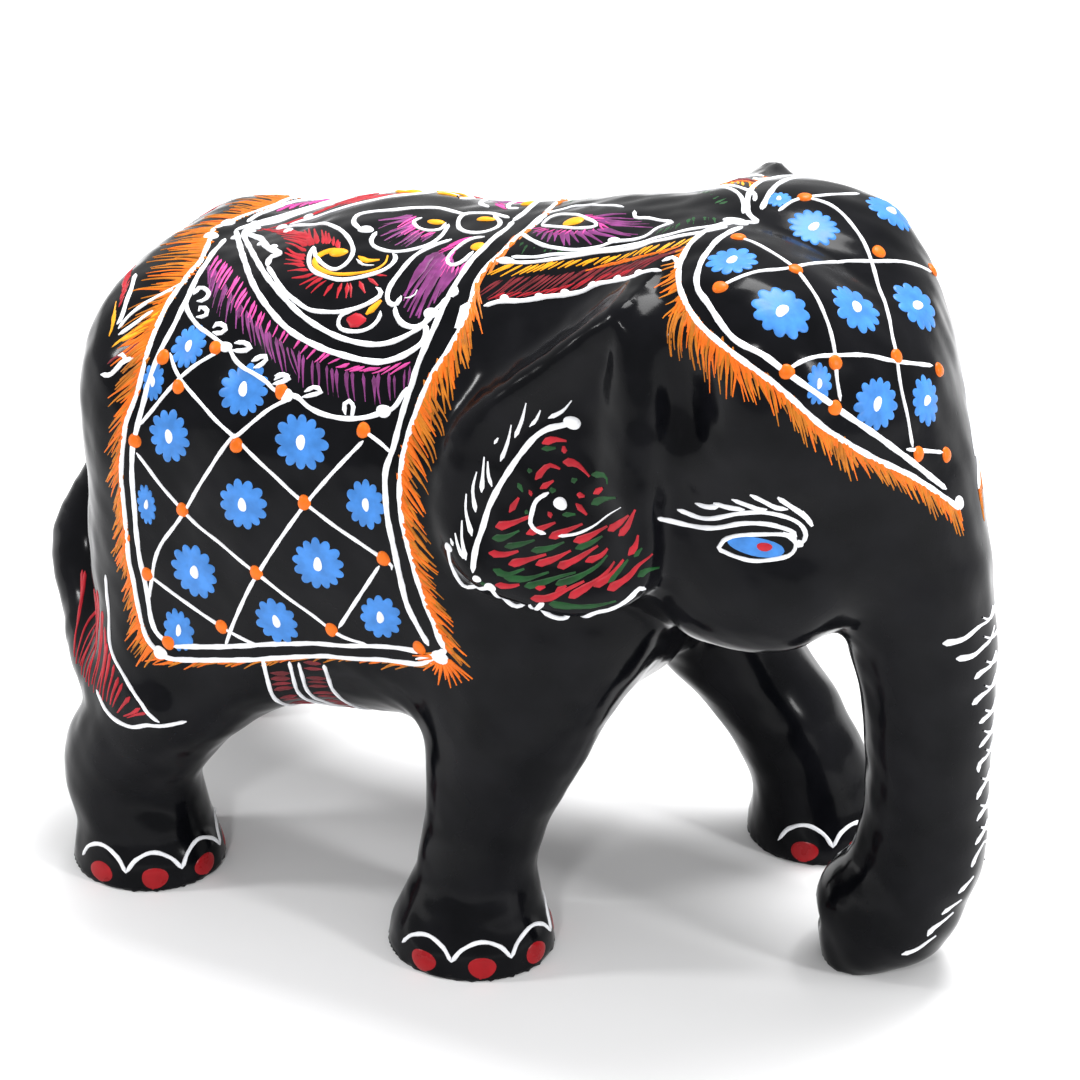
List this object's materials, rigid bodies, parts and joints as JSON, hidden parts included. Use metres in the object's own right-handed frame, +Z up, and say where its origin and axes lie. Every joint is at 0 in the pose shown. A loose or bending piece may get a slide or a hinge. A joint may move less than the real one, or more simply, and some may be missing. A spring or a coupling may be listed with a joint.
{
  "type": "carved elephant figurine",
  "caption": "Walking elephant figurine carved from one block of wood, black lacquered, with a raised painted saddle cloth, forehead plate and fringes.",
  "frame": {"origin": "centre of the bounding rectangle of the figure on the surface it stands on", "axes": "+X forward, from tail to trunk; +Y to the elephant's own left; +Z up. The walking side in view, with the near feet closer together, is the right side at -Y"},
  "size_m": [0.1246, 0.0626, 0.0931],
  "materials": {
    "black_lacquer": "gloss black lacquer over carved wood",
    "white_paint": "raised white enamel line",
    "magenta_paint": "raised magenta and purple strokes",
    "yellow_paint": "raised yellow strokes",
    "green_paint": "dark green paint",
    "orange_paint": "raised orange and ochre strokes",
    "blue_paint": "raised blue paint",
    "crimson_paint": "raised dark red strokes"
  },
  "bodies": {
    "root": {"carved_body": "black_lacquer", "saddle_border": "white_paint", "flank_net_right": "white_paint", "flank_net_left": "white_paint", "swag_right": "magenta_paint", "swag_left": "magenta_paint", "back_arabesque": "yellow_paint", "neck_leaf": "green_paint", "neck_band_right": "orange_paint", "neck_band_left": "orange_paint", "rump_leaf": "crimson_paint", "fringe_front_right": "orange_paint", "fringe_front_left": "orange_paint", "fringe_rear_right": "orange_paint", "fringe_rear_left": "orange_paint", "girth_band": "crimson_paint", "forehead_border": "white_paint", "forehead_net": "white_paint", "forehead_fringe_right": "orange_paint", "forehead_fringe_left": "orange_paint", "eye_right": "blue_paint", "eye_left": "blue_paint", "brow_right": "white_paint", "brow_left": "white_paint", "ear_outline_right": "white_paint", "ear_outline_left": "white_paint", "ear_paint_right": "crimson_paint", "ear_paint_left": "crimson_paint", "toe_line_hind_right": "white_paint", "toenail_hind_right_1": "crimson_paint", "toenail_hind_right_2": "crimson_paint", "toenail_hind_right_3": "crimson_paint", "toenail_hind_right_4": "crimson_paint", "toenail_hind_right_5": "crimson_paint", "toe_line_fore_right": "white_paint", "toenail_fore_right_1": "crimson_paint", "toenail_fore_right_2": "crimson_paint", "toenail_fore_right_3": "crimson_paint", "toenail_fore_right_4": "crimson_paint", "toenail_fore_right_5": "crimson_paint", "toe_line_fore_left": "white_paint", "toenail_fore_left_1": "crimson_paint", "toenail_fore_left_2": "crimson_paint", "toenail_fore_left_3": "crimson_paint", "toenail_fore_left_4": "crimson_paint", "toenail_fore_left_5": "crimson_paint", "toe_line_hind_left": "white_paint", "toenail_hind_left_1": "crimson_paint", "toenail_hind_left_2": "crimson_paint", "toenail_hind_left_3": "crimson_paint", "toenail_hind_left_4": "crimson_paint", "toenail_hind_left_5": "crimson_paint", "trunk_strokes_right": "white_paint", "trunk_strokes_left": "white_paint", "tail_tuft": "crimson_paint"}
  },
  "joints": []
}
